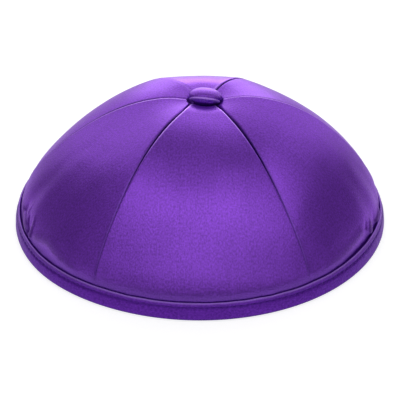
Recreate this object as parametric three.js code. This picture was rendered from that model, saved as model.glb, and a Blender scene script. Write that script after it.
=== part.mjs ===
// A six-panel satin kippah with a covered button on the crown and a bound rim, in millimetres.
// +Z is up, the front faces -Y, and the underside of the rim lies on z = 0 around the origin.
// Azimuths are in degrees round from the front: 0 is -Y, 90 is +X, -90 is -X.
import * as THREE from 'three';

// Driving dimensions
const RIM_DIAMETER = 170;
const CLOTH = 1.6;
const GAP = 0.3;

// The folded tape round the rim: its height outside, how much lower it ends inside, its
// thickness, the room it leaves round the panels' feet, and its rounded edges
const BINDING = {
  height: 6.8,
  innerDrop: 2.4,
  fold: 1.1,
  clearance: 0.55,
  footRound: 0.9,
  lipRound: 0.35,
  lipInset: 0.7,
};

// The covered button: the height of its top, the depth of its shell, and where its side is
// widest and its shoulder turns over into the dome
const BUTTON = {
  diameter: 14.4,
  top: 56.2,
  depth: 3.7,
  backRound: 1.6,
  widest: 1.4,
  shoulderIn: 2.4,
  shoulderDrop: 0.6,
};

// The crown's middle lies a little to the right of the rim's middle
const CROWN_SHIFT = 2.3;

// Mean section of the dome, from the hole at the crown down to the edge inside the binding:
// distance out from the middle, and height. The crown is dimpled under the button.
const SECTION = [
  { out: 2.2, up: 51.2 },
  { out: 7.5, up: 52.3 },
  { out: 18, up: 53.1 },
  { out: 30, up: 51.1 },
  { out: 41.5, up: 46.7 },
  { out: 52.5, up: 40.2 },
  { out: 62.5, up: 32.3 },
  { out: 71, up: 23.9 },
  { out: 77, up: 16.7 },
  { out: 80.5, up: 10.9 },
  { out: 82, up: 7 },
  { out: 83, up: 1.6 },
];

// The six seams: how far each stands out of the mean dome at mid-height, and how many degrees
// it swings aside where it runs in under the button
const SEAMS = [
  { azimuth: -148, lift: 0.5, swing: 0 },
  { azimuth: -93, lift: -1.8, swing: 0 },
  { azimuth: -29.5, lift: 1.7, swing: -33 },
  { azimuth: 31, lift: -1.5, swing: 15 },
  { azimuth: 89, lift: 1.9, swing: 0 },
  { azimuth: 151, lift: 0.3, swing: 0 },
];
const SWING_REACH = 10;

// The panel from each seam to the next, and how far its middle stands out between them
const PANELS = [
  { name: 'panel_back_left', fullness: 0.1 },
  { name: 'panel_front_left', fullness: -2.5 },
  { name: 'panel_front', fullness: 0 },
  { name: 'panel_front_right', fullness: 0 },
  { name: 'panel_back_right', fullness: -1.9 },
  { name: 'panel_back', fullness: -1.2 },
];

// Puckers above the binding: half the width in degrees, the height of the deepest place
// above the binding, and the depth
const PUCKERS = [
  { azimuth: -72, halfWidth: 5, rise: 6, depth: 1.0 },
  { azimuth: -57, halfWidth: 9, rise: 8, depth: 0.7 },
  { azimuth: 51, halfWidth: 11, rise: 8, depth: 0.7 },
  { azimuth: 67, halfWidth: 4, rise: 7, depth: 0.9 },
  { azimuth: 78, halfWidth: 4, rise: 6, depth: 0.8 },
  { azimuth: 133, halfWidth: 8, rise: 8, depth: 0.6 },
  { azimuth: -124, halfWidth: 8, rise: 8, depth: 0.6 },
];

// Slow waves in the rim, as half widths in degrees: how far it stands out, and how far its
// binding rises
const RIM_WAVES = [
  { azimuth: -50, halfWidth: 20, out: 0.8, rise: 0 },
  { azimuth: -106, halfWidth: 20, out: -0.8, rise: 0 },
  { azimuth: 60, halfWidth: 18, out: 0, rise: 1.5 },
  { azimuth: 106, halfWidth: 20, out: -0.8, rise: 0 },
];
const WAVE_FADE_POWER = 4;

// The rolled edge beside each seam, narrower near the crown, fading out towards the binding
const SEAM_DIP = 0.7;
const SEAM_ROLL = 2.2;
const WIDEST_ROLL = 0.3;
const ROLL_BEND = 0.35;
const ROLL_FADES = { from: 78, to: 82 };

// How finely the pieces are cut
const ROWS = 16;
const MIDDLE_COLUMNS = 11;
const RIM_SEGMENTS = 72;
const BUTTON_SEGMENTS = 32;
const CURVE_STEPS = 3;

const RIM_RADIUS = RIM_DIAMETER / 2;
const FOOT_RADIUS = SECTION.at(-1).out;
const LIFT_POWER = 1.3;

const satin = (colour, roughness) => new THREE.MeshStandardMaterial({
  color: colour,
  roughness,
  metalness: 0,
});
const panelSatin = satin(0x6a35a8, 0.38);
const bindingSatin = satin(0x6330a0, 0.42);
const buttonSatin = satin(0x7a45bc, 0.36);

const sectionCurve = new THREE.SplineCurve(
  SECTION.map(({ out, up }) => new THREE.Vector2(out, up)),
);

// A smooth hump around an azimuth: 1 at its middle, fading over its half width
function hump(azimuth, { azimuth: middle, halfWidth }) {
  const aside = THREE.MathUtils.euclideanModulo(azimuth - middle + 180, 360) - 180;
  return Math.exp(-((aside / halfWidth) ** 2));
}

// Depth of all the puckers together at an azimuth and a height
function puckerDepth(azimuth, height) {
  const above = Math.max(height - BINDING.height, 0);
  return PUCKERS.reduce((depth, pucker) => {
    const rise = above / pucker.rise;
    return depth + pucker.depth * hump(azimuth, pucker) * rise * Math.exp(1 - rise);
  }, 0);
}

// How far the rim stands out, or its binding rises, at an azimuth
function rimWave(azimuth, kind) {
  return RIM_WAVES.reduce((sum, wave) => sum + wave[kind] * hump(azimuth, wave), 0);
}

// Quarter round that a panel's edge makes as it rolls down into its seam
function rollDepth(distance, width, out) {
  if (distance >= width) return 0;
  const turn = 1 - distance / width;
  const fade = 1 - THREE.MathUtils.smoothstep(out, ROLL_FADES.from, ROLL_FADES.to);
  return SEAM_DIP * fade * (1 - Math.sqrt(1 - turn * turn));
}

// A point of the cloth at a place along the section, moved along the section's normal
function clothPoint(along, azimuth, lift, sunk) {
  const mean = sectionCurve.getPoint(along);
  const heading = sectionCurve.getTangent(along);
  const share = mean.x / FOOT_RADIUS;
  const offset = lift * Math.sin(Math.PI * share ** LIFT_POWER) - sunk;
  const wave = rimWave(azimuth, 'out') * share ** WAVE_FADE_POWER;
  const out = mean.x + wave - offset * heading.y;
  const up = mean.y + offset * heading.x;
  const angle = THREE.MathUtils.degToRad(azimuth);
  return new THREE.Vector3(
    out * Math.sin(angle) + (1 - share) * CROWN_SHIFT,
    -out * Math.cos(angle),
    up,
  );
}

// Azimuth of a seam at a distance from the crown's middle
function seamAzimuth({ azimuth, swing }, out) {
  return azimuth + swing * Math.exp(-((out / SWING_REACH) ** 2));
}

// Distances from the first seam to each column of a panel that is this wide
function columnStations(width) {
  const roll = Math.min(SEAM_ROLL, width * WIDEST_ROLL);
  const edge = Math.min(GAP / 2, roll / 2);
  const bend = THREE.MathUtils.lerp(edge, roll, ROLL_BEND);
  const stations = [edge, bend];
  for (let i = 0; i < MIDDLE_COLUMNS; i++) {
    stations.push(THREE.MathUtils.lerp(roll, width - roll, i / (MIDDLE_COLUMNS - 1)));
  }
  stations.push(width - bend, width - edge);
  return { roll, stations };
}

// Joins two like grids of points, outer face and inner face, into one closed solid
function closedCloth(outer, inner) {
  const rows = outer.length;
  const columns = outer[0].length;
  const positions = [...outer, ...inner].flat().flatMap((point) => point.toArray());
  const outerAt = (row, column) => row * columns + column;
  const innerAt = (row, column) => rows * columns + row * columns + column;
  const index = [];
  const quad = (a, b, c, d) => index.push(a, b, c, a, c, d);
  for (let row = 0; row < rows - 1; row++) {
    for (let column = 0; column < columns - 1; column++) {
      const below = row + 1;
      const right = column + 1;
      quad(outerAt(row, column), outerAt(below, column), outerAt(below, right), outerAt(row, right));
      quad(innerAt(row, column), innerAt(row, right), innerAt(below, right), innerAt(below, column));
    }
  }
  const last = columns - 1;
  for (let row = 0; row < rows - 1; row++) {
    const below = row + 1;
    quad(outerAt(row, 0), innerAt(row, 0), innerAt(below, 0), outerAt(below, 0));
    quad(outerAt(row, last), outerAt(below, last), innerAt(below, last), innerAt(row, last));
  }
  const foot = rows - 1;
  for (let column = 0; column < columns - 1; column++) {
    const right = column + 1;
    quad(outerAt(0, column), outerAt(0, right), innerAt(0, right), innerAt(0, column));
    quad(outerAt(foot, column), innerAt(foot, column), innerAt(foot, right), outerAt(foot, right));
  }
  const geometry = new THREE.BufferGeometry();
  geometry.setAttribute('position', new THREE.Float32BufferAttribute(positions, 3));
  geometry.setIndex(index);
  geometry.computeVertexNormals();
  return geometry;
}

// One gore of the dome between two seams, with rolled edges and a constant thickness
function panel({ name, fullness }, from, to) {
  const outer = [];
  const inner = [];
  for (let row = 0; row < ROWS; row++) {
    const along = row / (ROWS - 1);
    const mean = sectionCurve.getPoint(along);
    const start = seamAzimuth(from, mean.x);
    const span = seamAzimuth(to, mean.x) - start;
    const width = mean.x * THREE.MathUtils.degToRad(span);
    const { roll, stations } = columnStations(width);
    const outerRow = [];
    const innerRow = [];
    for (const station of stations) {
      const share = station / width;
      const azimuth = start + share * span;
      const middle = 1 - (2 * share - 1) ** 2;
      const lift = THREE.MathUtils.lerp(from.lift, to.lift, share) + fullness * middle;
      const edgeDistance = Math.min(station, width - station);
      const sunk = rollDepth(edgeDistance, roll, mean.x) + puckerDepth(azimuth, mean.y);
      outerRow.push(clothPoint(along, azimuth, lift, sunk));
      innerRow.push(clothPoint(along, azimuth, lift, sunk + CLOTH));
    }
    outer.push(outerRow);
    inner.push(innerRow);
  }
  const mesh = new THREE.Mesh(closedCloth(outer, inner), panelSatin);
  mesh.name = name;
  return mesh;
}

// Section of the bias binding around the panels' feet, clockwise from its slot: x is measured
// out from the panels' outer face at the foot
function bindingSection() {
  const { height, innerDrop, fold, clearance, footRound, lipRound, lipInset } = BINDING;
  const lean = SECTION.at(-1).out - SECTION.at(-2).out;
  const floor = SECTION.at(-1).up - clearance;
  const slotInner = -CLOTH - clearance;
  const innerTop = height - innerDrop;
  const innerFace = slotInner - fold;
  const outerFace = RIM_RADIUS - FOOT_RADIUS;
  const lipOuter = outerFace - lean - lipInset;
  const lipInner = clearance - lean;
  const lipMiddle = (lipOuter + lipInner) / 2;
  const section = new THREE.Path();
  section.moveTo(slotInner, floor);
  section.lineTo(slotInner - lean / 2, innerTop);
  section.quadraticCurveTo(innerFace - lean / 2, innerTop + lipInset, innerFace - lean / 2, innerTop);
  section.lineTo(innerFace, footRound);
  section.quadraticCurveTo(innerFace, 0, innerFace + footRound, 0);
  section.lineTo(outerFace - footRound, 0);
  section.quadraticCurveTo(outerFace, 0, outerFace, footRound);
  section.quadraticCurveTo(outerFace - lipRound, height / 2, lipOuter, height - lipRound);
  section.quadraticCurveTo(lipMiddle, height + lipRound, lipInner, height - lipRound);
  section.lineTo(clearance, floor);
  return section.getPoints(CURVE_STEPS);
}

// Bias binding folded over the feet of the panels: a ring with a slot that they stand in
function rimBinding() {
  const section = bindingSection();
  const positions = [];
  const index = [];
  for (let step = 0; step < RIM_SEGMENTS; step++) {
    const azimuth = (step / RIM_SEGMENTS) * 360;
    const angle = THREE.MathUtils.degToRad(azimuth);
    const radius = FOOT_RADIUS + rimWave(azimuth, 'out');
    const rise = rimWave(azimuth, 'rise');
    const next = (step + 1) % RIM_SEGMENTS;
    section.forEach(({ x, y }, i) => {
      const out = radius + x;
      const up = y + rise * (y / BINDING.height) ** 2;
      positions.push(out * Math.sin(angle), -out * Math.cos(angle), up);
      const after = (i + 1) % section.length;
      const corner = (ring, place) => ring * section.length + place;
      index.push(corner(step, i), corner(next, i), corner(next, after));
      index.push(corner(step, i), corner(next, after), corner(step, after));
    });
  }
  const geometry = new THREE.BufferGeometry();
  geometry.setAttribute('position', new THREE.Float32BufferAttribute(positions, 3));
  geometry.setIndex(index);
  geometry.computeVertexNormals();
  const mesh = new THREE.Mesh(geometry, bindingSatin);
  mesh.name = 'rim_binding';
  return mesh;
}

// Covered button on the crown: a domed shell, a turned-in edge and the shank sewn through the hole
function crownButton() {
  const { top, depth, backRound, widest, shoulderIn, shoulderDrop } = BUTTON;
  const radius = BUTTON.diameter / 2;
  const back = top - depth;
  const shank = { radius: SECTION[0].out - 2 * GAP, foot: SECTION[0].up - CLOTH };
  const section = new THREE.Path();
  section.moveTo(0, shank.foot);
  section.lineTo(shank.radius, shank.foot);
  section.lineTo(shank.radius, back);
  section.lineTo(radius - backRound, back);
  section.quadraticCurveTo(radius, back, radius, back + widest);
  section.quadraticCurveTo(radius, top - 2 * shoulderDrop, radius - shoulderIn, top - shoulderDrop);
  section.quadraticCurveTo(radius - 2 * shoulderIn, top, 0, top);
  const geometry = new THREE.LatheGeometry(section.getPoints(CURVE_STEPS), BUTTON_SEGMENTS);
  const mesh = new THREE.Mesh(geometry, buttonSatin);
  mesh.name = 'crown_button';
  mesh.rotation.x = Math.PI / 2;
  mesh.position.x = CROWN_SHIFT;
  return mesh;
}

const kippah = new THREE.Group();
SEAMS.forEach((from, i) => {
  const next = SEAMS[i + 1] ?? { ...SEAMS[0], azimuth: SEAMS[0].azimuth + 360 };
  kippah.add(panel(PANELS[i], from, next));
});
kippah.add(rimBinding(), crownButton());

export default kippah;
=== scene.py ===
import math
from collections import namedtuple

import bpy
from mathutils import Matrix, Vector, noise


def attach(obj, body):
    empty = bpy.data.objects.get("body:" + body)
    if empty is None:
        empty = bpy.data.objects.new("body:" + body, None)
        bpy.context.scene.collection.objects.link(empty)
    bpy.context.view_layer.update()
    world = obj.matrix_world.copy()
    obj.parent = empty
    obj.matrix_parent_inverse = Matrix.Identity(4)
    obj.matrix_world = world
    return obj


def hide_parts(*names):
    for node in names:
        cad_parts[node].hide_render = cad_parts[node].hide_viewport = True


# A six-panel satin kippah with a covered button and a bound rim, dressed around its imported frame.
# Shapes are worked out in millimetres and turned into metres as each mesh is made. +Z is up and
# the front faces -Y. Azimuths are degrees round from the front: 90 is +X, -90 is -X. Camera, floor
# and lights are in metres.
MM = 0.001

# Dome
Place = namedtuple("Place", "out up")
SECTION = [
    Place(2.2, 51.2), Place(7.5, 52.3), Place(18, 53.1), Place(30, 51.1),
    Place(41.5, 46.7), Place(52.5, 40.2), Place(62.5, 32.3), Place(71, 23.9),
    Place(77, 16.7), Place(80.5, 10.9), Place(82, 7), Place(83, 1.6),
]
FOOT_RADIUS = SECTION[-1].out
DIMPLE_DEPTH = 2.0
DIMPLE_RADIUS = 7.4
DIMPLE_POWER = 12
CROWN_SHIFT = 2.3
LIFT_POWER = 1.3
CLOTH = 1.6

# Seams, and the panel that follows each one round. A seam lifts the dome's mean section, swings
# round near the crown and dips into a groove. Its step raises the panel after it over the one
# before, or the other way round below zero, and its shadow widens the line of painted shade under
# the higher edge. A share of it is left at the foot. The higher edge is worn, with a painted
# highlight, out to a distance from the axis.
Seam = namedtuple("Seam", "azimuth lift swing dip groove step shadow foot_share worn_to wear")
SEAMS = [
    Seam(-148, 0.5, 0, 0.1, 0.03, 0.05, 0.1, 0.12, 40, 3),
    Seam(-93, -1.8, 0, 1.0, 0.24, 0.42, 1.8, 0.55, 84, 1.95),
    Seam(-29.5, 1.7, -33, 1.4, 0.36, 0.35, 0.9, 0.12, 50, 3),
    Seam(31, -1.5, 15, 1.4, 0.36, -0.35, 0.9, 0.12, 42, 3),
    Seam(89, 1.9, 0, 1.2, 0.26, -0.45, 1.8, 0.55, 84, 1.95),
    Seam(151, 0.3, 0, 0.6, 0.16, 0.15, 0.4, 0.12, 40, 3),
]
SWING_REACH = 10
Panel = namedtuple("Panel", "name fullness")
PANELS = [
    Panel("panel_back_left", 0.1), Panel("panel_front_left", -2.5), Panel("panel_front", 0),
    Panel("panel_front_right", 0), Panel("panel_back_right", -1.9), Panel("panel_back", -1.2),
]
SEAM_ROLL = 1.5
FOOT_ROLL = 0.5
WIDEST_ROLL = 0.3
SEAM_EDGE = 0.03
SEAM_EASES = (30, 72)
ROLL_FADES = (79, 82.6)
NARROWEST_GROOVE = 0.3
GROOVE_PULSE = 0.15
STEP_REACH = 3.5
STITCH_PITCH = 2.6

# Worn seam edges with a painted highlight, the seams' lines of painted shade, and painted shade at
# the panels' foot
WORN_AND_LIT_PLACE = 0.7
WORN_AND_LIT_WIDTH = 0.4
WORN_AND_LIT_FADES = 0.4
GROOVE_DARK = 0.9
GROOVE_SOFT = 0.28
FAINTEST_GROOVE = 0.5
SHADOW_GROWS = (10, 30)
FOOT_SHADE = 0.58
FOOT_SHADE_UP = (7.6, 11.6)

# Puckers over the binding, short folds in them from one place to another, and slow waves in the rim
Pucker = namedtuple("Pucker", "azimuth half_width rise depth")
PUCKERS = [
    Pucker(-72, 5, 6, 1.0), Pucker(-57, 9, 8, 0.7), Pucker(51, 11, 8, 0.7),
    Pucker(67, 4, 7, 0.45), Pucker(78, 4, 6, 0.4), Pucker(133, 8, 8, 0.6),
    Pucker(-124, 8, 8, 0.6),
]
Fold = namedtuple("Fold", "azimuth up end_azimuth end_up half_width height end_height")
FOLDS = [
    Fold(-77.0, 8.6, -72.0, 9.0, 0.9, 0.1, 0.7),
    Fold(-72.0, 9.0, -64.5, 7.9, 0.9, 0.7, 0.8),
    Fold(-67.2, 12.2, -63.0, 8.6, 0.9, -0.4, -0.7),
    Fold(-63.4, 14.8, -61.8, 12.1, 0.7, 0.1, 0.55),
    Fold(-61.8, 12.1, -60.5, 7.7, 0.7, 0.55, 0.6),
    Fold(-70.5, 16.0, -70.0, 11.7, 0.9, 0.1, 0.55),
    Fold(-73.5, 12.4, -73.0, 11.0, 1.2, -0.3, -0.3),
    Fold(-57.0, 9.5, -50.0, 11.6, 2.2, 0.4, 0.4),
    Fold(-50.0, 11.6, -38.0, 9.0, 2.4, 0.4, 0.2),
    Fold(78.4, 9.2, 74.0, 8.5, 0.9, 0.0, 0.65),
    Fold(74.0, 8.5, 69.0, 7.8, 0.9, 0.65, 0.75),
    Fold(65.8, 12.4, 63.6, 10.4, 0.9, 0.0, 0.75),
    Fold(63.6, 10.4, 62.0, 8.4, 0.9, 0.75, 0.7),
    Fold(62.0, 14.1, 60.0, 11.7, 0.9, -0.1, -0.45),
    Fold(69.0, 12.0, 67.6, 10.0, 1.0, -0.1, -0.35),
    Fold(57.0, 11.4, 50.0, 10.6, 2.0, 0.35, 0.35),
    Fold(50.0, 10.6, 40.0, 9.6, 2.2, 0.35, 0.2),
]
Wave = namedtuple("Wave", "azimuth half_width out rise")
RIM_WAVES = [
    Wave(-50, 20, 0.8, 0), Wave(-106, 20, -0.8, 0), Wave(60, 18, 0, 1.5), Wave(106, 20, -0.8, 0),
]
WAVE_FADE_POWER = 4
FOLD_REACH = 15
# How much worn lilac the folds' ridges get, partly wear and partly a painted highlight
FOLD_WEAR_AND_HIGHLIGHT = 1.1

# Heights and sizes of the cloth's swells, ripples and gathers
SWELL = 0.22
SWELL_SIZE = 24
SMALL_SWELL = 0.05
SMALL_SWELL_SIZE = 7
RIPPLE = 0.07
RIPPLE_SIZE = 2.2
RIPPLE_REACH = 3.5
RIPPLES_GROW = (12, 25)
GATHER = 0.16
GATHER_DEGREES = 2.3
GATHER_REACH = 4.5
EVEN_AT_FOOT = (81.6, 82.6)

# Binding
BINDING_HEIGHT = 6.8
BINDING_INNER_DROP = 2.4
BINDING_FOLD = 1.1
BINDING_CLEARANCE = 0.42
LIP_CLEARANCE = 0.2
BINDING_FOOT_ROUND = 0.9
BINDING_LIP_ROUND = 0.35
BINDING_LIP_INSET = 0.7
BINDING_OUT = 2.0
STITCH_DROP = 1.7
STITCH_SINK = 0.4
STITCH_GROOVE = 0.42
# Worn lilac along the tape's lip, partly wear and partly a painted highlight
LIP_WEAR_AND_HIGHLIGHT = 0.5
LIP_UNEVEN = 0.22
TAPE_SWELL = 0.14
TAPE_SLANT = 0.10
TAPE_RIPPLE = 0.05
TAPE_RIPPLES = 150
TAPE_RIPPLE_SLANT = 0.9
TAPE_EVEN_FOOT = (0.2, 2.0)
STITCH_PULSE = 0.2
# Painted shade at the tape's foot and in its stitched groove
TAPE_SHADE = 0.8
TAPE_SHADE_HEIGHT = 1.1
GROOVE_SHADE_DEPTH = 0.44

# Stitches of the binding and of the seams
STITCH_GAP = 0.14
STITCH_RADIUS = 0.15
STITCH_PROUD = 0.10
STITCH_END_SINK = 0.16
SEAM_STITCHED = (9, 81)
SEAM_STITCH_WIDTH = 0.9
SEAM_STITCH_RADIUS = 0.11
SEAM_STITCH_DEPTH = 0.72
SEAM_STITCH_BEND = 0.25

# Covered button
BUTTON_TOP = 56.7
BUTTON_SHOULDER = 55.1
BUTTON_BACK = 51.9
BUTTON_HOLLOW = 50.8
BUTTON_RADIUS = 7.1
BUTTON_PITCH = 6.5
BUTTON_ROLL = 4.5
BUTTON_FLAT = 0.3
BUTTON_FLAT_AZIMUTH = -8
BUTTON_FLAT_HEIGHT = 1.1
BUTTON_FOLD_UP = 2.84
BUTTON_FOLD_SLOPE = 0.62
BUTTON_FOLD_LEAN = 0.07
BUTTON_FOLD_BEAD = 0.45
BUTTON_BEAD_WIDTH = 0.75
BUTTON_CREASE_DEPTH = 0.4
BUTTON_CREASE_UP = 1.0
BUTTON_CREASE_WIDTH = 0.45
# Worn lilac along the button's bead, partly wear and partly a painted highlight
BUTTON_FOLD_WEAR_AND_HIGHLIGHT = 0.5
# Painted shade in the hollow under the button
BUTTON_SHADE = 0.6
BUTTON_GATHERS = 46
BUTTON_GATHER = 0.07
BUTTON_SLOW_GATHERS = 31
BUTTON_SLOW_GATHER = 0.05
BUTTON_UNEVEN = 0.1
NECK_RADIUS = 5.0
SHANK_RADIUS = 1.6

# How finely the pieces are cut
ROWS = 150
ROLL_STEPS = 7
MIDDLE_COLUMNS = 110
RIM_STEPS = 1440
BUTTON_STEPS = 144
SEAM_STITCH_POINTS = 5
STITCH_POINTS = 6

# Angles in degrees from which an edge is drawn sharp
PANEL_SHARP = 60
BINDING_SHARP = 75
BUTTON_SHARP = 70


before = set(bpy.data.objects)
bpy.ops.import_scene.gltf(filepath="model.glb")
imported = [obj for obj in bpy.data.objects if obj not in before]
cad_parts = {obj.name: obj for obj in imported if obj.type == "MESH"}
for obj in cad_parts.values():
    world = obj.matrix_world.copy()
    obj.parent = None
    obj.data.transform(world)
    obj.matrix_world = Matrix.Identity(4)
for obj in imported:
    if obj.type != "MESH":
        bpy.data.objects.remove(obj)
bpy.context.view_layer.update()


# Small helpers

def smoothstep(value, low, high):
    share = min(max((value - low) / (high - low), 0), 1)
    return share * share * (3 - 2 * share)


def bell(aside, width):
    """1 at zero, fading smoothly over a width."""
    return math.exp(-((aside / width) ** 2))


def hump(azimuth, middle, half_width):
    """1 at the middle azimuth, fading smoothly over half_width degrees."""
    return bell((azimuth - middle + 180) % 360 - 180, half_width)


def lerp(start, end, share):
    return start + (end - start) * share


def around(azimuth, out, up):
    """A point at an azimuth, at a distance from the axis and a height."""
    angle = math.radians(azimuth)
    return Vector((out * math.sin(angle), -out * math.cos(angle), up))


def make_piece(name, points, faces, materials, face_materials=None):
    """A smooth-shaded mesh object at the origin, from points in millimetres."""
    mesh = bpy.data.meshes.new(name)
    mesh.from_pydata([point * MM for point in points], [], faces)
    for material in materials:
        mesh.materials.append(material)
    mesh.polygons.foreach_set("use_smooth", [True] * len(faces))
    if face_materials:
        mesh.polygons.foreach_set("material_index", face_materials)
    piece = bpy.data.objects.new(name, mesh)
    bpy.context.collection.objects.link(piece)
    return piece


def lay_grain(piece, places):
    """Gives every corner of a face its place on the flat cloth, across and along the grain."""
    layer = piece.data.uv_layers.new(name="grain")
    for corner, (across, along) in zip(layer.data, places):
        corner.uv = (across * MM, along * MM)


def at_corners(piece, places):
    """The places of a piece's points, repeated for the corners of its faces."""
    return [places[loop.vertex_index] for loop in piece.data.loops]


def paint(piece, name, amounts):
    """Stores an amount from 0 to 1 for each point: how much worn lilac and painted highlight it
    gets, or how much painted shade.
    """
    layer = piece.data.attributes.new(name=name, type="FLOAT", domain="POINT")
    layer.data.foreach_set("value", amounts)


# Dome section

Mean = namedtuple("Mean", "out up run rise length")


def catmull_rom(t, before, start, end, after):
    """Value and slope of a uniform Catmull-Rom curve between start and end."""
    low = (end - before) / 2
    high = (after - start) / 2
    cube = 2 * start - 2 * end + low + high
    square = -3 * start + 3 * end - 2 * low - high
    return ((cube * t + square) * t + low) * t + start, (3 * cube * t + 2 * square) * t + low


def mean_section(rows):
    """The dome's mean section from the crown to the foot, with its heading and length so far."""
    means = []
    length = 0
    last = len(SECTION) - 1
    for row in range(rows):
        place = row / (rows - 1) * last
        i = min(int(place), last - 1)
        near = [SECTION[max(i - 1, 0)], SECTION[i], SECTION[i + 1], SECTION[min(i + 2, last)]]
        out, run = catmull_rom(place - i, *[point.out for point in near])
        up, rise = catmull_rom(place - i, *[point.up for point in near])
        size = math.hypot(run, rise)
        if means:
            length += math.hypot(out - means[-1].out, up - means[-1].up)
        means.append(Mean(out, up, run / size, rise / size, length))
    return means


def rim_wave(azimuth, kind):
    """How far the rim's slow waves move it, out or up."""
    moved = 0
    for wave in RIM_WAVES:
        moved += getattr(wave, kind) * hump(azimuth, wave.azimuth, wave.half_width)
    return moved


def pucker_depth(azimuth, height):
    """How far the puckers over the binding sink the cloth."""
    above = max(height - BINDING_HEIGHT, 0)
    depth = 0
    for pucker in PUCKERS:
        rise = above / pucker.rise
        across = hump(azimuth, pucker.azimuth, pucker.half_width)
        depth += pucker.depth * across * rise * math.exp(1 - rise)
    return depth


def fold_height(azimuth, up):
    """How far the short sharp folds above the binding lift the cloth."""
    highest = 0
    deepest = 0
    for fold in FOLDS:
        aside = (azimuth - fold.azimuth + 180) % 360 - 180
        if abs(aside) > FOLD_REACH:
            continue
        across = math.radians(aside) * FOOT_RADIUS
        run = math.radians(fold.end_azimuth - fold.azimuth) * FOOT_RADIUS
        rise = fold.end_up - fold.up
        along = (across * run + (up - fold.up) * rise) / (run * run + rise * rise)
        along = min(max(along, 0), 1)
        away = math.hypot(across - along * run, up - fold.up - along * rise)
        height = lerp(fold.height, fold.end_height, along) * bell(away, fold.half_width)
        highest = max(highest, height)
        deepest = min(deepest, height)
    return highest + deepest


def crown_dimple(out):
    """How far the button pulls the cloth down round its shank."""
    return DIMPLE_DEPTH * math.exp(-((out / DIMPLE_RADIUS) ** DIMPLE_POWER))


def cloth_point(mean, azimuth, lift, sunk):
    """A point of the cloth beside the mean section, moved along the section's normal."""
    share = mean.out / FOOT_RADIUS
    offset = lift * math.sin(math.pi * share ** LIFT_POWER) - sunk
    wave = rim_wave(azimuth, "out") * share ** WAVE_FADE_POWER
    point = around(azimuth, mean.out + wave - offset * mean.rise, mean.up + offset * mean.run)
    point.x += (1 - share) * CROWN_SHIFT
    return point


def seam_azimuth(seam, out):
    return seam.azimuth + seam.swing * bell(out, SWING_REACH)


# Panels

def rolled_edge(roll, groove):
    """Distances from a seam: the groove's floor, then close together round the rolled edge."""
    edge = min(SEAM_EDGE, roll / 4)
    floor = max(min(groove, roll / 2), edge * 1.5)
    distances = [edge]
    for step in range(ROLL_STEPS):
        turn = math.radians(90 * (1 - step / ROLL_STEPS))
        distances.append(floor + (roll - floor) * (1 - math.sin(turn)))
    return distances


def panel_columns(width, start_groove, end_groove, strength):
    """Distances from a panel's first seam: close where its edges roll in, even between them."""
    roll = min(SEAM_ROLL * lerp(FOOT_ROLL, 1, strength), width * WIDEST_ROLL)
    middle = [lerp(roll, width - roll, i / (MIDDLE_COLUMNS - 1)) for i in range(MIDDLE_COLUMNS)]
    far = [width - distance for distance in reversed(rolled_edge(roll, end_groove))]
    return roll, rolled_edge(roll, start_groove) + middle + far


def easing(mean):
    """1 near the crown, where seams are pulled in hardest, and 0 towards the foot."""
    return 1 - smoothstep(mean.out, *SEAM_EASES)


def seam_strength(seam, mean):
    return lerp(seam.foot_share, 1, easing(mean))


def seam_fade(seam, mean):
    """The strength of a seam, gone where the binding covers it."""
    return seam_strength(seam, mean) * (1 - smoothstep(mean.out, *ROLL_FADES))


def seam_groove(seam, mean):
    """Half the width of a seam's groove, narrower down the cap and pulsing with the stitches."""
    pulse = 1 + GROOVE_PULSE * math.cos(2 * math.pi * mean.length / STITCH_PITCH)
    return seam.groove * lerp(NARROWEST_GROOVE, 1, seam_strength(seam, mean)) * pulse


def roll_depth(edge, roll, side):
    """How far a panel's edge has sunk on its way down into the seam."""
    if edge >= roll:
        return 0
    turn = min((roll - edge) / (roll - min(side.groove, roll / 2)), 1)
    return side.seam.dip * side.fade * (1 - math.sqrt(1 - turn * turn))


def cloth_unevenness(point, distance, mean, azimuth):
    """Slow swells of the cloth, short ripples by the seams and fine gathers over the binding."""
    swell = SWELL * noise.noise(point / SWELL_SIZE)
    swell += SMALL_SWELL * noise.noise(point / SMALL_SWELL_SIZE + Vector((9, 0, 0)))
    ripple = RIPPLE * noise.noise(Vector((mean.length / RIPPLE_SIZE, azimuth / 60, 3)))
    ripple *= math.exp(-distance / RIPPLE_REACH) * smoothstep(mean.out, *RIPPLES_GROW)
    gather = GATHER * noise.noise(Vector((azimuth / GATHER_DEGREES, 7, mean.up / 20)))
    gather *= math.exp(-max(mean.up - BINDING_HEIGHT, 0) / GATHER_REACH)
    return (swell + ripple + gather) * (1 - smoothstep(mean.out, *EVEN_AT_FOOT))


def flat_place(mean, offset_degrees):
    """Where a point lies on the flat gore: across its middle line and along it."""
    offset = math.radians(offset_degrees)
    turned = offset * mean.run
    if abs(turned) < 1e-4:
        return mean.out * offset, mean.length
    slant = mean.out / mean.run
    return slant * math.sin(turned), mean.length - slant * (1 - math.cos(turned))


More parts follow.
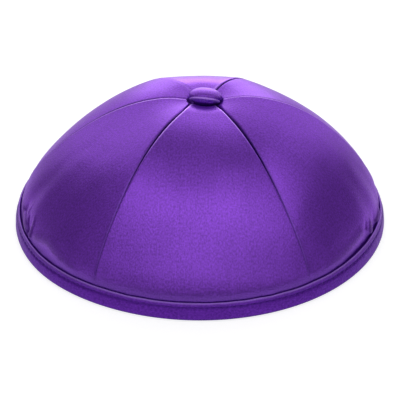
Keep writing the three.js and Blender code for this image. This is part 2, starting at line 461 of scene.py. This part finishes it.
def closed_grid(rows, columns):
    """Faces of a closed sheet whose outer grid of points is followed by a like inner grid."""
    faces = []
    is_inner = []

    def at(side, row, column):
        return (side * rows + row) * columns + column

    for row in range(rows - 1):
        for column in range(columns - 1):
            corners = [(row, column), (row + 1, column), (row + 1, column + 1), (row, column + 1)]
            faces.append([at(0, *corner) for corner in corners])
            faces.append([at(1, *corner) for corner in reversed(corners)])
            is_inner += [0, 1]
    last = columns - 1
    for row in range(rows - 1):
        below = row + 1
        faces.append([at(0, row, 0), at(1, row, 0), at(1, below, 0), at(0, below, 0)])
        faces.append([at(0, row, last), at(0, below, last), at(1, below, last), at(1, row, last)])
        is_inner += [0, 0]
    foot = rows - 1
    for left in range(columns - 1):
        right = left + 1
        faces.append([at(0, 0, left), at(0, 0, right), at(1, 0, right), at(1, 0, left)])
        faces.append([at(0, foot, left), at(1, foot, left), at(1, foot, right), at(0, foot, right)])
        is_inner += [0, 0]
    return faces, is_inner


# One of a panel's two sides: its seam, the groove and fade of that, and how proud the panel is
Side = namedtuple("Side", "seam groove fade proud")


def panel_sides(start_seam, end_seam, mean):
    sides = []
    for seam, sign in ((start_seam, 1), (end_seam, -1)):
        sides.append(Side(seam, seam_groove(seam, mean), seam_fade(seam, mean), sign * seam.step))
    return sides


def edge_wear_and_highlight(side, edge, roll, mean):
    """How much worn lilac and painted highlight the rolled edge gets where it stands proud of the
    seam.
    """
    rubbed_and_lit = bell(edge - WORN_AND_LIT_PLACE * roll, WORN_AND_LIT_WIDTH)
    rubbed_and_lit *= 1 - smoothstep(mean.out, WORN_AND_LIT_FADES * side.seam.worn_to, side.seam.worn_to)
    return rubbed_and_lit * max(side.proud, 0) * side.seam.wear


def groove_shade(side, edge, mean):
    """Painted shade in the seam's groove, reaching further where the other panel stands over it."""
    shadow = side.seam.shadow * smoothstep(mean.out, *SHADOW_GROWS) if side.proud < 0 else 0
    in_groove = 1 - smoothstep(edge, side.groove * GROOVE_DARK, side.groove + GROOVE_SOFT + shadow)
    return lerp(FAINTEST_GROOVE, 1, side.fade) * min(side.seam.dip, 1) * in_groove


def make_panel(panel, start_seam, end_seam, means, materials):
    """One gore of the dome between two seams, with rolled edges."""
    outer = []
    inner = []
    places = []
    wear = []
    shade = []
    for mean in means:
        start = seam_azimuth(start_seam, mean.out)
        span = seam_azimuth(end_seam, mean.out) - start
        width = mean.out * math.radians(span)
        sides = panel_sides(start_seam, end_seam, mean)
        roll, columns = panel_columns(width, sides[0].groove, sides[1].groove, easing(mean))
        # Painted shade along the panel's foot, just above the binding
        painted_foot_shade = FOOT_SHADE * (1 - smoothstep(mean.up, *FOOT_SHADE_UP))
        for distance in columns:
            share = distance / width
            azimuth = start + share * span
            fullness = panel.fullness * (1 - (2 * share - 1) ** 2)
            lift = lerp(start_seam.lift, end_seam.lift, share) + fullness
            edge = min(distance, width - distance)
            side = sides[0] if share < 0.5 else sides[1]
            sunk = roll_depth(edge, roll, side) + pucker_depth(azimuth, mean.up)
            sunk += crown_dimple(mean.out)
            for other, away in zip(sides, (distance, width - distance)):
                sunk -= other.proud * other.fade * math.exp(-away / STEP_REACH)
            plain = cloth_point(mean, azimuth, lift, sunk)
            fold = fold_height(azimuth, mean.up)
            sunk -= cloth_unevenness(plain, edge, mean, azimuth) + fold
            outer.append(cloth_point(mean, azimuth, lift, sunk))
            inner.append(cloth_point(mean, azimuth, lift, sunk + CLOTH))
            places.append(flat_place(mean, (share - 0.5) * span))
            # Worn lilac on the folds' ridges, partly wear and partly a painted highlight
            fold_wear_and_highlight = FOLD_WEAR_AND_HIGHLIGHT * max(fold, 0) ** 2
            wear.append(min(edge_wear_and_highlight(side, edge, roll, mean) + fold_wear_and_highlight, 1))
            shade.append(max(groove_shade(side, edge, mean), painted_foot_shade))
    faces, is_inner = closed_grid(len(means), len(outer) // len(means))
    piece = make_piece(panel.name + "_satin", outer + inner, faces, materials, is_inner)
    lay_grain(piece, at_corners(piece, places * 2))
    paint(piece, "wear", wear * 2)
    paint(piece, "shade", shade * 2)
    piece.data.set_sharp_from_angle(angle=math.radians(PANEL_SHARP))
    return piece


# Sections of the binding and the button, as legs that bend round a control point or run straight

Leg = namedtuple("Leg", "control end steps")


def bend(start, leg):
    """Points of a quadratic curve after its start."""
    points = []
    for step in range(1, leg.steps + 1):
        t = step / leg.steps
        points.append([
            (1 - t) ** 2 * a + 2 * t * (1 - t) * b + t * t * c
            for a, b, c in zip(start, leg.control, leg.end)
        ])
    return points


def straight(start, leg):
    steps = range(1, leg.steps + 1)
    return [[lerp(a, b, step / leg.steps) for a, b in zip(start, leg.end)] for step in steps]


def trace(start, legs):
    """All points of a section, leg after leg."""
    points = [start]
    for leg in legs:
        points += straight(points[-1], leg) if leg.control is None else bend(points[-1], leg)
    return points


def run_lengths(section):
    """How far along a section each of its points lies."""
    lengths = [0]
    for here, there in zip(section, section[1:]):
        lengths.append(lengths[-1] + math.dist(here, there))
    return lengths


# Binding

def binding_section():
    """Section of the folded tape, from the floor of its slot round to the lip and back in."""
    lean = SECTION[-1].out - SECTION[-2].out
    floor = SECTION[-1].up - BINDING_CLEARANCE
    slot_inner = -CLOTH - BINDING_CLEARANCE
    inner_top = BINDING_HEIGHT - BINDING_INNER_DROP
    inner_face = slot_inner - BINDING_FOLD
    inner_edge = inner_face - lean / 2
    lip_outer = BINDING_OUT - lean - BINDING_LIP_INSET
    lip_inner = LIP_CLEARANCE - lean
    lip_middle = (lip_outer + lip_inner) / 2
    foot_round = BINDING_FOOT_ROUND
    shoulder = BINDING_HEIGHT - BINDING_LIP_ROUND
    return trace([slot_inner, floor], [
        Leg(None, [slot_inner - lean / 2, inner_top], 2),
        Leg([inner_edge, inner_top + BINDING_LIP_INSET], [inner_edge, inner_top], 6),
        Leg(None, [inner_face, foot_round], 6),
        Leg([inner_face, 0], [inner_face + foot_round, 0], 5),
        Leg(None, [BINDING_OUT - foot_round, 0], 3),
        Leg([BINDING_OUT, 0], [BINDING_OUT, foot_round], 6),
        Leg([BINDING_OUT - BINDING_LIP_ROUND, BINDING_HEIGHT / 2], [lip_outer, shoulder], 22),
        Leg([lip_middle, BINDING_HEIGHT + BINDING_LIP_ROUND], [lip_inner, shoulder], 7),
        Leg(None, [BINDING_CLEARANCE, floor], 2),
    ])


def stitch_groove(height, azimuth):
    """How far the topstitching pulls the tape's outer face in at a height."""
    line = BINDING_HEIGHT - STITCH_DROP
    along = math.radians(azimuth) * (FOOT_RADIUS + BINDING_OUT)
    pull = 1 - STITCH_PULSE + STITCH_PULSE * math.cos(2 * math.pi * along / STITCH_PITCH)
    return bell(height - line, STITCH_GROOVE) * STITCH_SINK * pull


def tape_unevenness(height, azimuth):
    """Slanting ripples of cloth cut on the bias, fading out at the foot."""
    angle = math.radians(azimuth)
    ring = Vector((math.sin(angle), math.cos(angle), 0))
    slow = TAPE_SWELL * noise.noise(ring * 9 + Vector((0, 0, height / 9)))
    slant = TAPE_SLANT * noise.noise(ring * 30 + Vector((0, 0, height / 2.6 + 4)))
    along = angle * FOOT_RADIUS + TAPE_RIPPLE_SLANT * height
    ripple_length = 2 * math.pi * FOOT_RADIUS / TAPE_RIPPLES
    ripple = TAPE_RIPPLE * math.sin(2 * math.pi * along / ripple_length)
    ripple *= noise.noise(ring * 6 + Vector((5, 5, 5)))
    return smoothstep(height, *TAPE_EVEN_FOOT) * (slow + slant + ripple)


def binding_point(azimuth, x, y):
    """A point of the tape: x out from the panels' outer face at the foot, y up."""
    outside = smoothstep(x, -0.4, 0.4)
    bump = tape_unevenness(y, azimuth) - stitch_groove(y, azimuth)
    out = FOOT_RADIUS + rim_wave(azimuth, "out") + x + outside * bump
    stretch = (y / BINDING_HEIGHT) ** 2
    angle = math.radians(azimuth)
    ring = Vector((math.sin(angle), math.cos(angle), 2))
    lip = LIP_UNEVEN * noise.noise(ring * 14) * stretch
    return around(azimuth, out, y + rim_wave(azimuth, "rise") * stretch + lip)


def tape_wear_and_highlight(x, y):
    """How much worn lilac the tape gets along its lip, partly wear and partly a painted highlight.
    """
    return LIP_WEAR_AND_HIGHLIGHT * math.exp(-abs(y - BINDING_HEIGHT) / 0.2) * smoothstep(x, -0.6, 0)


def tape_shade(azimuth, x, y):
    """Painted shade on the tape's outer face, in its stitched groove and at its foot."""
    low = 1 - smoothstep(y, 0.1, TAPE_SHADE_HEIGHT)
    dark = stitch_groove(y, azimuth) / GROOVE_SHADE_DEPTH + TAPE_SHADE * low
    return min(dark, 1) * smoothstep(x, 0.2, 0.6)


def make_binding(materials):
    """The folded tape round the rim, with the groove of its topstitching."""
    section = binding_section()
    lengths = run_lengths(section)
    count = len(section)
    points = []
    wear = []
    shade = []
    for step in range(RIM_STEPS):
        azimuth = step / RIM_STEPS * 360
        for x, y in section:
            points.append(binding_point(azimuth, x, y))
            wear.append(tape_wear_and_highlight(x, y))
            shade.append(tape_shade(azimuth, x, y))
    faces = []
    places = []
    for step in range(RIM_STEPS):
        for i in range(count):
            after = (i + 1) % count
            corners = [(step, i), (step + 1, i), (step + 1, after), (step, after)]
            faces.append([ring % RIM_STEPS * count + place for ring, place in corners])
            for ring, place in corners:
                along = math.radians(ring / RIM_STEPS * 360) * FOOT_RADIUS
                places.append((lengths[place], along))
    piece = make_piece("rim_binding_satin", points, faces, materials)
    lay_grain(piece, places)
    paint(piece, "wear", wear)
    paint(piece, "shade", shade)
    piece.data.set_sharp_from_angle(angle=math.radians(BINDING_SHARP))
    return piece


# Threads

def add_thread(points, faces, path, radius, sides=6):
    """Adds a closed tube along a short path, tapering at both ends."""
    first = len(points)
    last = len(path) - 1
    for i, place in enumerate(path):
        heading = (path[min(i + 1, last)] - path[max(i - 1, 0)]).normalized()
        aside = heading.cross(Vector((0, 0, 1)))
        if aside.length < 1e-3:
            aside = heading.cross(Vector((1, 0, 0)))
        aside.normalize()
        over = heading.cross(aside)
        taper = radius * (0.55 if i in (0, last) else 1)
        for side in range(sides):
            turn = 2 * math.pi * side / sides
            points.append(place + aside * (taper * math.cos(turn)) + over * (taper * math.sin(turn)))
    for i in range(last):
        for side in range(sides):
            after = (side + 1) % sides
            ring = first + i * sides
            faces.append([ring + side, ring + after, ring + sides + after, ring + sides + side])
    faces.append([first + side for side in reversed(range(sides))])
    faces.append([first + last * sides + side for side in range(sides)])


def make_topstitching(material):
    """The row of thread stitches that holds the tape."""
    points = []
    faces = []
    stitches = round(2 * math.pi * (FOOT_RADIUS + BINDING_OUT) / STITCH_PITCH)
    outer_face = [place for place in binding_section() if place[0] > 0.2 and place[1] > 1]
    height = BINDING_HEIGHT - STITCH_DROP
    x = min(outer_face, key=lambda place: abs(place[1] - height))[0]
    for stitch in range(stitches):
        path = []
        for step in range(STITCH_POINTS):
            done = step / (STITCH_POINTS - 1)
            share = lerp(STITCH_GAP, 1 - STITCH_GAP, done)
            azimuth = (stitch + share) / stitches * 360
            sink = STITCH_END_SINK * (2 * done - 1) ** 4
            path.append(binding_point(azimuth, x + STITCH_PROUD - sink, height))
        add_thread(points, faces, path, STITCH_RADIUS)
    return make_piece("rim_topstitching", points, faces, [material])


def seam_stitch(seam, mean):
    """The path of one stitch that lies across a seam, down in its groove."""
    path = []
    for step in range(SEAM_STITCH_POINTS):
        aside = (step / (SEAM_STITCH_POINTS - 1) - 0.5) * SEAM_STITCH_WIDTH
        sunk = seam.dip * seam_fade(seam, mean) * SEAM_STITCH_DEPTH
        turned = seam_azimuth(seam, mean.out) + math.degrees(aside / mean.out)
        path.append(cloth_point(mean, turned, seam.lift, sunk + SEAM_STITCH_BEND * abs(aside)))
    return path


def make_seam_threads(means, material):
    """The stitches that show as a ladder down in each seam."""
    points = []
    faces = []
    nearest, farthest = SEAM_STITCHED
    for seam in SEAMS:
        reached = 0
        for mean in means:
            if mean.length < reached or mean.out < nearest or mean.out > farthest:
                continue
            reached = mean.length + STITCH_PITCH
            add_thread(points, faces, seam_stitch(seam, mean), SEAM_STITCH_RADIUS, 5)
    return make_piece("seam_threads", points, faces, [material])


# Button

def button_section():
    """Section of the button: over its dome, down its side, in below and down its shank."""
    radius = BUTTON_RADIUS
    shank_foot = SECTION[0].up - DIMPLE_DEPTH - CLOTH
    shank_top = shank_foot + CLOTH
    return trace([0, BUTTON_TOP], [
        Leg([0.62 * radius, BUTTON_TOP], [0.88 * radius, BUTTON_SHOULDER], 26),
        Leg([0.99 * radius, BUTTON_SHOULDER - 0.55], [radius, BUTTON_SHOULDER - 1.4], 14),
        Leg(None, [radius, BUTTON_BACK + 1], 8),
        Leg([radius, BUTTON_BACK + 0.2], [radius - 0.9, BUTTON_BACK], 6),
        Leg([0.8 * radius, BUTTON_HOLLOW], [NECK_RADIUS, BUTTON_HOLLOW], 6),
        Leg([0.8 * NECK_RADIUS, shank_top], [SHANK_RADIUS, shank_top], 6),
        Leg(None, [SHANK_RADIUS, shank_foot], 3),
        Leg(None, [0, shank_foot], 2),
    ])


def fold_above(point):
    """How far a point lies above the sloping plane of the fold across the button's front."""
    above = point.z - BUTTON_BACK + BUTTON_FOLD_SLOPE * point.y + BUTTON_FOLD_LEAN * point.x
    return above + BUTTON_FOLD_SLOPE * BUTTON_RADIUS - BUTTON_FOLD_UP


def button_fold(point):
    """A bead of cloth along the fold, and a crease above it."""
    above = fold_above(point)
    bead = BUTTON_FOLD_BEAD * bell(above, BUTTON_BEAD_WIDTH)
    crease = BUTTON_CREASE_DEPTH * bell(above - BUTTON_CREASE_UP, BUTTON_CREASE_WIDTH)
    return smoothstep(-point.y, 0.5, 3) * (bead - crease)


def button_swell(angle, out, up):
    """How far the gathered cloth below the button's shoulder stands out, less its flat front."""
    below = 1 - smoothstep(up, BUTTON_SHOULDER - 0.6, BUTTON_SHOULDER + 0.3)
    gather = BUTTON_GATHER * math.sin(angle * BUTTON_GATHERS)
    gather += BUTTON_SLOW_GATHER * math.sin(angle * BUTTON_SLOW_GATHERS + 1)
    ring = Vector((math.sin(angle), math.cos(angle), up / 3))
    uneven = BUTTON_UNEVEN * noise.noise(ring * 5)
    front = max(math.cos(angle - math.radians(BUTTON_FLAT_AZIMUTH)), 0)
    flat = BUTTON_FLAT * front ** 2 * bell(up - BUTTON_SHOULDER, BUTTON_FLAT_HEIGHT)
    return below * smoothstep(out, 2.5, 5) * (gather + uneven) - flat * smoothstep(out, 4, 6)


def ring_size(out):
    """How many points a ring of the button has: one on the axis."""
    return BUTTON_STEPS if out > 0 else 1


def ring_faces(section):
    """Faces between each ring of the button and the next one."""
    rings = []
    start = 0
    for out, up in section:
        rings.append((start, ring_size(out)))
        start += ring_size(out)
    faces = []
    for (upper, upper_size), (lower, lower_size) in zip(rings, rings[1:]):
        for step in range(BUTTON_STEPS):
            after = (step + 1) % BUTTON_STEPS
            if upper_size == 1:
                faces.append([upper, lower + step, lower + after])
            elif lower_size == 1:
                faces.append([upper + step, lower, upper + after])
            else:
                faces.append([upper + step, lower + step, lower + after, upper + after])
    return faces


def make_button(materials):
    """The covered button: a domed shell, tilted a little, and the cloth gathered in behind."""
    section = button_section()
    tilt = Matrix.Rotation(math.radians(BUTTON_ROLL), 4, "Y")
    tilt @= Matrix.Rotation(math.radians(-BUTTON_PITCH), 4, "X")
    pivot = Vector((0, 0, BUTTON_BACK))
    points = []
    places = []
    wear = []
    shade = []
    for length, (out, up) in zip(run_lengths(section), section):
        for step in range(ring_size(out)):
            azimuth = step / BUTTON_STEPS * 360
            angle = math.radians(azimuth)
            point = around(azimuth, max(out + button_swell(angle, out, up), 0), up)
            point += (point - pivot).normalized() * button_fold(point)
            if up > BUTTON_HOLLOW - 0.1:
                point = tilt @ (point - pivot) + pivot
            points.append(point + Vector((CROWN_SHIFT, 0, 0)))
            places.append((length * math.sin(angle), length * math.cos(angle)))
            # Worn lilac along the bead of the fold, partly wear and partly a painted highlight
            bead = max(button_fold(around(azimuth, out, up)), 0) / BUTTON_FOLD_BEAD
            wear.append(BUTTON_FOLD_WEAR_AND_HIGHLIGHT * bead)
            # Painted shade in the hollow under the button's edge
            shade.append(BUTTON_SHADE * (1 - smoothstep(up, BUTTON_HOLLOW, BUTTON_BACK + 0.3)))
    piece = make_piece("crown_button_satin", points, ring_faces(section), materials)
    lay_grain(piece, at_corners(piece, places))
    paint(piece, "wear", wear)
    paint(piece, "shade", shade)
    piece.data.set_sharp_from_angle(angle=math.radians(BUTTON_SHARP))
    return piece


# Materials

PANEL_DARK = (0.102, 0.0145, 0.312)
PANEL_LIGHT = (0.212, 0.039, 0.60)
# The binding is the panels' satin in a darker colour: partly the bias-cut tape reflecting less,
# partly painted shade for less light from the floor
BINDING_DARK = (0.062, 0.008, 0.21)
BINDING_LIGHT = (0.130, 0.021, 0.39)
# Lilac of worn cloth, also laid on as a painted highlight along rolled edges, fold ridges, the
# tape's lip and the button's bead
CLOTH_WORN_AND_HIGHLIGHT = (0.55, 0.32, 0.90)
# Dark purple laid on as painted shade
PAINTED_SHADE_PURPLE = (0.03, 0.002, 0.14)
EDGE_TINT = (0.77, 0.49, 1.0)
THREAD_PURPLE = (0.09, 0.010, 0.30)
SATIN_IOR = 1.8

Satin = namedtuple("Satin", "name dark light roughness anisotropy specular metallic")
SATINS = [
    Satin("panel_satin", PANEL_DARK, PANEL_LIGHT, 0.33, 0.7, 1.0, 0.65),
    Satin("panel_reverse", PANEL_DARK, PANEL_LIGHT, 0.7, 0.1, 0.15, 0),
    Satin("binding_satin", BINDING_DARK, BINDING_LIGHT, 0.45, 0.4, 0.15, 0.5),
    Satin("button_satin", PANEL_DARK, PANEL_LIGHT, 0.36, 0.5, 1.0, 0.6),
]

# Patterns in the cloth: cells to the metre across and along the grain, and a share of the tone
Pattern = namedtuple("Pattern", "across along detail share")
STREAKS = Pattern(1500, 70, 3, 0.15)
SLUBS = Pattern(420, 30, 3, 0.1)
MOTTLE = Pattern(1500, 1050, 1, 0.6)
DRIFT = Pattern(45, 45, 2, 0.15)
TONE_SPREAD = (0.36, 0.64)
STREAK_ROUGHNESS = 0.10

# Floats of the weave, in metres, and the ridges that bumps raise
FLOAT_LENGTH = 0.0011
FLOAT_WIDTH = 0.00024
FLOAT_GAP = 0.00003
Ridges = namedtuple("Ridges", "strength height")
WEAVE_RIDGES = Ridges(0.12, 0.00005)
SLUB_RIDGES = Ridges(0.25, 0.00008)
CREPE_RIDGES = Ridges(1.0, 0.00008)
THREAD_RIDGES = Ridges(0.4, 0.00005)


def node(tree, kind, **inputs):
    """A shader node with its sockets set by name."""
    made = tree.nodes.new(kind)
    for name, value in inputs.items():
        made.inputs[name.replace("_", " ")].default_value = value
    return made


def linked_math(tree, operation, first, second):
    made = tree.nodes.new("ShaderNodeMath")
    made.operation = operation
    for socket, value in zip(made.inputs, (first, second)):
        if isinstance(value, (int, float)):
            socket.default_value = value
        else:
            tree.links.new(value, socket)
    return made.outputs[0]


def blend(tree, factor, first, second):
    """Mixes two colours, each a tuple or a socket, by a factor."""
    mix = tree.nodes.new("ShaderNodeMix")
    mix.data_type = "RGBA"
    tree.links.new(factor, mix.inputs["Factor"])
    for name, colour in (("A", first), ("B", second)):
        if isinstance(colour, tuple):
            mix.inputs[name].default_value = (*colour, 1)
        else:
            tree.links.new(colour, mix.inputs[name])
    return mix.outputs["Result"]


def painted(tree, name):
    """The amounts that were painted on a piece."""
    attribute = tree.nodes.new("ShaderNodeAttribute")
    attribute.attribute_name = name
    return attribute.outputs["Fac"]


def raise_ridges(tree, height, ridges, under=None):
    """Bumps of a height, laid over the bumps under them."""
    bump = node(tree, "ShaderNodeBump", Strength=ridges.strength, Distance=ridges.height)
    tree.links.new(height, bump.inputs["Height"])
    if under:
        tree.links.new(under, bump.inputs["Normal"])
    return bump


def stretched_noise(tree, grain, pattern):
    """The noise of a pattern, stretched along the grain."""
    mapping = tree.nodes.new("ShaderNodeMapping")
    mapping.inputs["Scale"].default_value = (pattern.across, pattern.along, 1)
    tree.links.new(grain, mapping.inputs["Vector"])
    cells = node(tree, "ShaderNodeTexNoise", Scale=1.0, Detail=pattern.detail, Roughness=0.6)
    tree.links.new(mapping.outputs["Vector"], cells.inputs["Vector"])
    return cells.outputs["Fac"]


def weave_floats(tree, grain):
    """The gaps between the short floats of the weave, which lie along the grain."""
    turned = tree.nodes.new("ShaderNodeMapping")
    turned.inputs["Rotation"].default_value = (0, 0, math.radians(90))
    tree.links.new(grain, turned.inputs["Vector"])
    floats = node(
        tree, "ShaderNodeTexBrick", Scale=1.0, Brick_Width=FLOAT_LENGTH, Row_Height=FLOAT_WIDTH,
        Mortar_Size=FLOAT_GAP, Mortar_Smooth=1.0,
    )
    floats.offset = 0.4
    tree.links.new(turned.outputs["Vector"], floats.inputs["Vector"])
    return floats.outputs["Fac"]


def tone_of(tree, noises):
    """The sum of the patterns' noises by their shares, spread from 0 to 1."""
    tone = None
    for fac, pattern in noises:
        part = linked_math(tree, "MULTIPLY", fac, pattern.share)
        tone = part if tone is None else linked_math(tree, "ADD", tone, part)
    low, high = TONE_SPREAD
    spread = node(tree, "ShaderNodeMapRange", From_Min=low, From_Max=high)
    tree.links.new(tone, spread.inputs["Value"])
    return spread.outputs["Result"]


def satin(cloth):
    """Woven satin: filament streaks along the grain, the weave's floats, slow colour drift, worn
    edges lightened partly with a painted highlight, and painted shade in grooves and hollows. The
    grain runs along the second coordinate of the grain map."""
    material = bpy.data.materials.new(cloth.name)
    material.use_nodes = True
    tree = material.node_tree
    links = tree.links
    shader = tree.nodes["Principled BSDF"]
    grain_map = tree.nodes.new("ShaderNodeUVMap")
    grain_map.uv_map = "grain"
    grain = grain_map.outputs["UV"]
    streaks = stretched_noise(tree, grain, STREAKS)
    slubs = stretched_noise(tree, grain, SLUBS)
    drift = stretched_noise(tree, grain, DRIFT)
    mottle = stretched_noise(tree, grain, MOTTLE)

    noises = [(streaks, STREAKS), (slubs, SLUBS), (mottle, MOTTLE), (drift, DRIFT)]
    woven = blend(tree, tone_of(tree, noises), cloth.dark, cloth.light)
    # Worn lilac mixed in, partly wear and partly a painted highlight
    rubbed_and_lit = blend(tree, painted(tree, "wear"), woven, CLOTH_WORN_AND_HIGHLIGHT)
    # Painted shade: dark purple mixed in where the cloth lies in shade
    sunk = blend(tree, painted(tree, "shade"), rubbed_and_lit, PAINTED_SHADE_PURPLE)
    links.new(sunk, shader.inputs["Base Color"])

    rough = linked_math(tree, "MULTIPLY_ADD", streaks, STREAK_ROUGHNESS)
    rough.node.inputs[2].default_value = cloth.roughness - STREAK_ROUGHNESS / 2
    links.new(rough, shader.inputs["Roughness"])

    weave = raise_ridges(tree, weave_floats(tree, grain), WEAVE_RIDGES)
    weave.invert = True
    ridges = raise_ridges(tree, slubs, SLUB_RIDGES, weave.outputs["Normal"])
    crepe = raise_ridges(tree, mottle, CREPE_RIDGES, ridges.outputs["Normal"])
    links.new(crepe.outputs["Normal"], shader.inputs["Normal"])

    across = tree.nodes.new("ShaderNodeTangent")
    across.direction_type = "UV_MAP"
    across.uv_map = "grain"
    links.new(across.outputs["Tangent"], shader.inputs["Tangent"])
    shader.inputs["Anisotropic"].default_value = cloth.anisotropy
    shader.inputs["Metallic"].default_value = cloth.metallic
    shader.inputs["IOR"].default_value = SATIN_IOR
    shader.inputs["Specular IOR Level"].default_value = cloth.specular
    shader.inputs["Specular Tint"].default_value = (*EDGE_TINT, 1)
    return material


def thread(name, colour):
    """Sewing thread: fine fibres, lighter and darker."""
    material = bpy.data.materials.new(name)
    material.use_nodes = True
    tree = material.node_tree
    shader = tree.nodes["Principled BSDF"]
    place = tree.nodes.new("ShaderNodeTexCoord")
    fibres = node(tree, "ShaderNodeTexNoise", Scale=2500.0, Detail=2.0)
    tree.links.new(place.outputs["Object"], fibres.inputs["Vector"])
    dark = tuple(0.6 * part for part in colour)
    tone = blend(tree, fibres.outputs["Fac"], dark, colour)
    tree.links.new(tone, shader.inputs["Base Color"])
    ridge = raise_ridges(tree, fibres.outputs["Fac"], THREAD_RIDGES)
    tree.links.new(ridge.outputs["Normal"], shader.inputs["Normal"])
    shader.inputs["Roughness"].default_value = 0.6
    shader.inputs["Specular IOR Level"].default_value = 0.15
    return material


FLOOR_GREY = (0.45, 0.45, 0.45)
FLOOR_GLOW = 0.7


def pale_floor():
    material = bpy.data.materials.new("pale_floor")
    material.use_nodes = True
    shader = material.node_tree.nodes["Principled BSDF"]
    shader.inputs["Base Color"].default_value = (*FLOOR_GREY, 1)
    shader.inputs["Roughness"].default_value = 0.9
    shader.inputs["Specular IOR Level"].default_value = 0.1
    shader.inputs["Emission Color"].default_value = (1, 1, 1, 1)
    shader.inputs["Emission Strength"].default_value = FLOOR_GLOW
    return material


# Camera, floor and light

CAMERA_DISTANCE = 0.340
CAMERA_ELEVATION = math.radians(31.7)
CAMERA_LENS = 64.8
CAMERA_SENSOR = 36
AIM = Vector((0, 0, 0.0006))
FLOOR_SIDE = 3.0
FLOOR_UP = -0.0003
WORLD_STRENGTH = 0.15

Softbox = namedtuple("Softbox", "name azimuth elevation distance width height radiance")
SOFTBOXES = [
    Softbox("left_light", -25, 43, 1.2, 1.12, 1.28, 0.74),
    Softbox("right_light", 25, 43, 1.2, 1.12, 1.28, 0.74),
    Softbox("left_high_light", -64, 58, 1.2, 0.7, 0.6, 0.8),
    Softbox("right_high_light", 64, 58, 1.2, 0.7, 0.6, 1.0),
    Softbox("top_light", 0, 90, 1.2, 1.2, 1.0, 0.33),
    Softbox("high_back_light", 180, 52, 1.5, 3.0, 0.55, 0.85),
    Softbox("back_light", 178, 24, 1.5, 3.2, 1.2, 1.13),
    Softbox("low_back_light", 180, 12, 1.4, 0.8, 0.5, 2.2),
]


def make_camera():
    data = bpy.data.cameras.new("camera")
    data.lens = CAMERA_LENS
    data.sensor_width = CAMERA_SENSOR
    camera = bpy.data.objects.new("camera", data)
    bpy.context.collection.objects.link(camera)
    back = Vector((0, -math.cos(CAMERA_ELEVATION), math.sin(CAMERA_ELEVATION)))
    camera.location = AIM + back * CAMERA_DISTANCE
    camera.rotation_euler = back.to_track_quat("Z", "Y").to_euler()
    bpy.context.scene.camera = camera


def make_floor():
    side = FLOOR_SIDE
    corners = [(-side, -side), (side, -side), (side, side), (-side, side)]
    mesh = bpy.data.meshes.new("floor")
    mesh.from_pydata([(x, y, FLOOR_UP) for x, y in corners], [], [[0, 1, 2, 3]])
    mesh.materials.append(pale_floor())
    floor = bpy.data.objects.new("floor", mesh)
    bpy.context.collection.objects.link(floor)


def make_world():
    world = bpy.data.worlds.new("studio")
    world.use_nodes = True
    background = world.node_tree.nodes["Background"]
    background.inputs["Color"].default_value = (1, 1, 1, 1)
    background.inputs["Strength"].default_value = WORLD_STRENGTH
    bpy.context.scene.world = world


def make_softbox(box):
    """A rectangular area light that faces the cap from an azimuth and an elevation."""
    data = bpy.data.lights.new(box.name, "AREA")
    data.shape = "RECTANGLE"
    data.size = box.width
    data.size_y = box.height
    data.energy = box.radiance * math.pi * box.width * box.height
    light = bpy.data.objects.new(box.name, data)
    bpy.context.collection.objects.link(light)
    elevation = math.radians(box.elevation)
    direction = around(box.azimuth, math.cos(elevation), math.sin(elevation))
    light.location = direction * box.distance
    light.rotation_euler = direction.to_track_quat("Z", "Y").to_euler()


# The whole cap

make_camera()
bpy.context.scene.view_settings.view_transform = "Standard"
make_floor()
make_world()
for softbox in SOFTBOXES:
    make_softbox(softbox)

satins = {cloth.name: satin(cloth) for cloth in SATINS}
purple_thread = thread("purple_thread", THREAD_PURPLE)

means = mean_section(ROWS)
for i, panel in enumerate(PANELS):
    following = SEAMS[(i + 1) % len(SEAMS)]
    if following.azimuth < SEAMS[i].azimuth:
        following = following._replace(azimuth=following.azimuth + 360)
    sides_of_cloth = [satins["panel_satin"], satins["panel_reverse"]]
    piece = make_panel(panel, SEAMS[i], following, means, sides_of_cloth)
    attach(piece, "root")
    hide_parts(panel.name)

binding = make_binding([satins["binding_satin"]])
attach(binding, "root")
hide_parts("rim_binding")

topstitching = make_topstitching(purple_thread)
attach(topstitching, "root")

seam_threads = make_seam_threads(means, purple_thread)
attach(seam_threads, "root")

button = make_button([satins["button_satin"]])
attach(button, "root")
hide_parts("crown_button")
